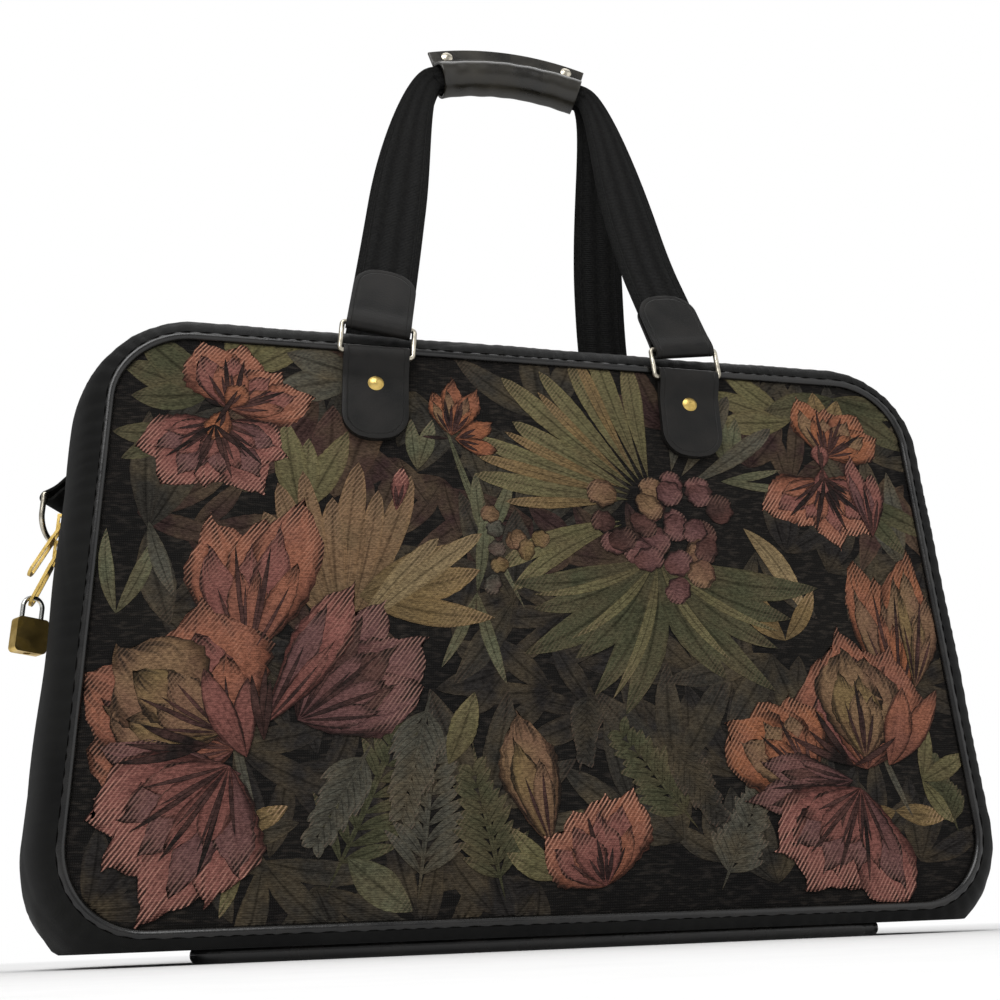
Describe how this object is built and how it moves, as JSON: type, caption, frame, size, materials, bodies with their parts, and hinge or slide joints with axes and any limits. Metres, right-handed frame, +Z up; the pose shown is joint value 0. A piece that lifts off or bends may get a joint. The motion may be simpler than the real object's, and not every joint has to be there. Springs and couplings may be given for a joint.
{
  "type": "carpet bag",
  "caption": "Soft-sided travel bag with floral tapestry panels, piped edges, a bulged zip gusset, webbing handles joined by a snapped grip wrap, side rings and a small padlock.",
  "frame": {"origin": "floor level under the middle of the base pad", "axes": "+Z up, -Y out of the front panel, +X to the right seen from the front"},
  "size_m": [0.5702, 0.1496, 0.633],
  "materials": {
    "tapestry_ground": "woven jacquard, black ground",
    "tapestry_flowers": "woven jacquard, rust and rose",
    "tapestry_leaves": "woven jacquard, sage and ochre",
    "piping_vinyl": "black vinyl, semi-gloss",
    "gusset_cloth": "black satin cloth, coated",
    "base_cloth": "black satin cloth over foam",
    "board": "dark hard board",
    "zip_tape": "black zip tape",
    "zip_teeth": "black moulded teeth",
    "brass": "bright brass plate",
    "lock_steel": "bright steel",
    "ring_nickel": "pale nickel plate",
    "webbing": "black ribbed webbing",
    "tab_leather": "black leather, creased edges",
    "grip_vinyl": "dark olive-black vinyl, glossy"
  },
  "bodies": {
    "bag": {"front_panel": "tapestry_ground", "back_panel": "tapestry_ground", "tapestry_flowers": "tapestry_flowers", "tapestry_leaves": "tapestry_leaves", "front_piping": "piping_vinyl", "back_piping": "piping_vinyl", "front_gusset": "gusset_cloth", "back_gusset": "gusset_cloth", "base_gusset": "gusset_cloth", "base_pad": "base_cloth", "base_board": "board", "zip_tape_front": "zip_tape", "zip_tape_back": "zip_tape", "zip_teeth": "zip_teeth", "zip_end_patches": "gusset_cloth", "side_loop_left": "webbing", "side_loop_right": "webbing", "lower_tab_front_left": "tab_leather", "lower_tab_front_right": "tab_leather", "lower_tab_back_left": "tab_leather", "lower_tab_back_right": "tab_leather", "tab_ring_front_left": "ring_nickel", "tab_ring_front_right": "ring_nickel", "tab_ring_back_left": "ring_nickel", "tab_ring_back_right": "ring_nickel", "upper_tab_front_left": "tab_leather", "upper_tab_front_right": "tab_leather", "upper_tab_back_left": "tab_leather", "upper_tab_back_right": "tab_leather", "handle_rivets": "brass", "strap_front": "webbing", "strap_back": "webbing", "grip_wrap": "grip_vinyl", "grip_snaps": "ring_nickel"},
    "upper_slider": {"zip_slider_upper": "brass"},
    "lower_slider": {"zip_slider_lower": "brass"},
    "upper_pull": {"zip_pull_upper": "brass"},
    "lower_pull": {"zip_pull_lower": "brass"},
    "padlock": {"padlock_body": "brass"},
    "shackle": {"padlock_shackle": "lock_steel"},
    "left_ring": {"d_ring_left": "ring_nickel"},
    "right_ring": {"d_ring_right": "ring_nickel"}
  },
  "joints": [
    {"name": "upper_slider_run", "type": "slide", "parent": "bag", "child": "upper_slider", "axis": [0, 0, 1], "range_m": [0, 0.044]},
    {"name": "lower_slider_run", "type": "slide", "parent": "bag", "child": "lower_slider", "axis": [0, 0, -1], "range_m": [0, 0.136]},
    {"name": "upper_pull_swing", "type": "hinge", "parent": "upper_slider", "child": "upper_pull", "pos_m": [-0.26671, -0.00813, 0.2307], "axis": [-0.0457, 0.999, 0], "range_deg": [0, 110]},
    {"name": "lower_pull_swing", "type": "hinge", "parent": "lower_slider", "child": "lower_pull", "pos_m": [-0.26671, -0.00813, 0.2147], "axis": [-0.0457, 0.999, 0], "range_deg": [-3, 12]},
    {"name": "padlock_swing", "type": "hinge", "parent": "lower_pull", "child": "padlock", "pos_m": [-0.27631, -0.00857, 0.18829], "axis": [-0.0457, 0.999, 0], "range_deg": [0, 20]},
    {"name": "shackle_lift", "type": "slide", "parent": "padlock", "child": "shackle", "axis": [0, 0, 1], "range_m": [0, 0.004]},
    {"name": "left_ring_swing", "type": "hinge", "parent": "bag", "child": "left_ring", "pos_m": [-0.276, 0.026, 0.258], "axis": [0.4226, 0.9063, 0], "range_deg": [-15, 100]},
    {"name": "right_ring_swing", "type": "hinge", "parent": "bag", "child": "right_ring", "pos_m": [0.276, 0.026, 0.258], "axis": [0.4226, -0.9063, 0], "range_deg": [-15, 100]}
  ]
}
